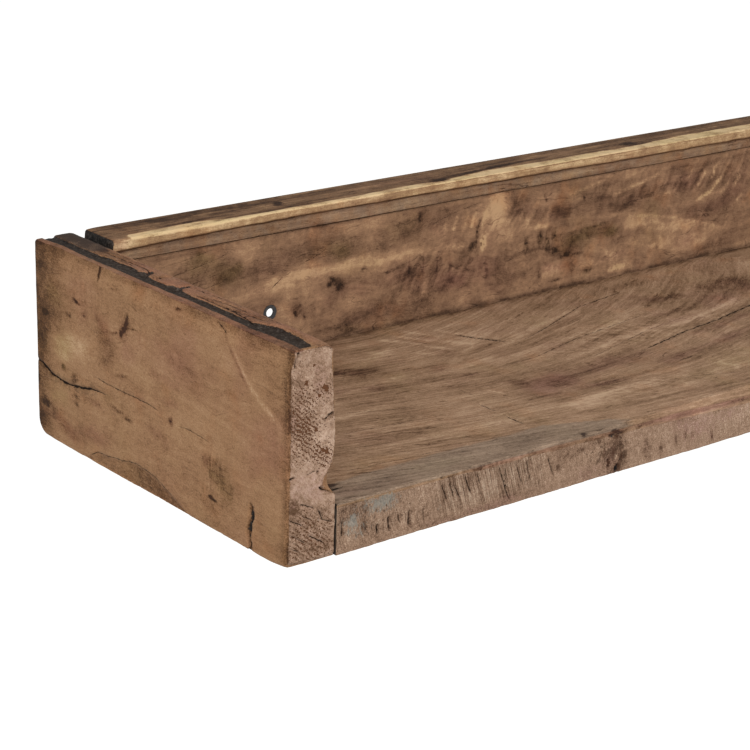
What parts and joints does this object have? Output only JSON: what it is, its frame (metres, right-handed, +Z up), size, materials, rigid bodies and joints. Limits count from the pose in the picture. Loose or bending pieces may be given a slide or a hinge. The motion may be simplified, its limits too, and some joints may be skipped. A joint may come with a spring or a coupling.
{
  "type": "wall shelf",
  "caption": "Wall shelf: a shallow open tray of thick reclaimed boards with raised ends and a back, hung on a wall through holes in the back.",
  "frame": {"origin": "bottom centre of the shelf's bounding box", "axes": "+X along the shelf's length, +Y from the open front towards the wall, +Z up"},
  "size_m": [0.8, 0.25, 0.1205],
  "materials": {
    "end_wood": "worn reclaimed hardwood, warm brown, smooth with a thin wax",
    "bottom_wood": "worn reclaimed hardwood, mid brown with dark figure",
    "back_wood": "worn reclaimed hardwood, dark brown with strong figure",
    "rail_wood": "worn reclaimed hardwood with a pale sapwood stripe",
    "dowel_wood": "plain beech",
    "screw_steel": "zinc plated, dull",
    "washer_steel": "blackened steel, satin"
  },
  "bodies": {
    "root": {"left_end_board": "end_wood", "right_end_board": "end_wood", "bottom_board": "bottom_wood", "back_board": "back_wood", "back_top_rail": "rail_wood", "left_bottom_dowels": "dowel_wood", "right_bottom_dowels": "dowel_wood", "left_back_dowels": "dowel_wood", "right_back_dowels": "dowel_wood", "rail_dowels": "dowel_wood", "back_screws": "screw_steel", "left_hole_washer": "washer_steel", "right_hole_washer": "washer_steel"}
  },
  "joints": []
}
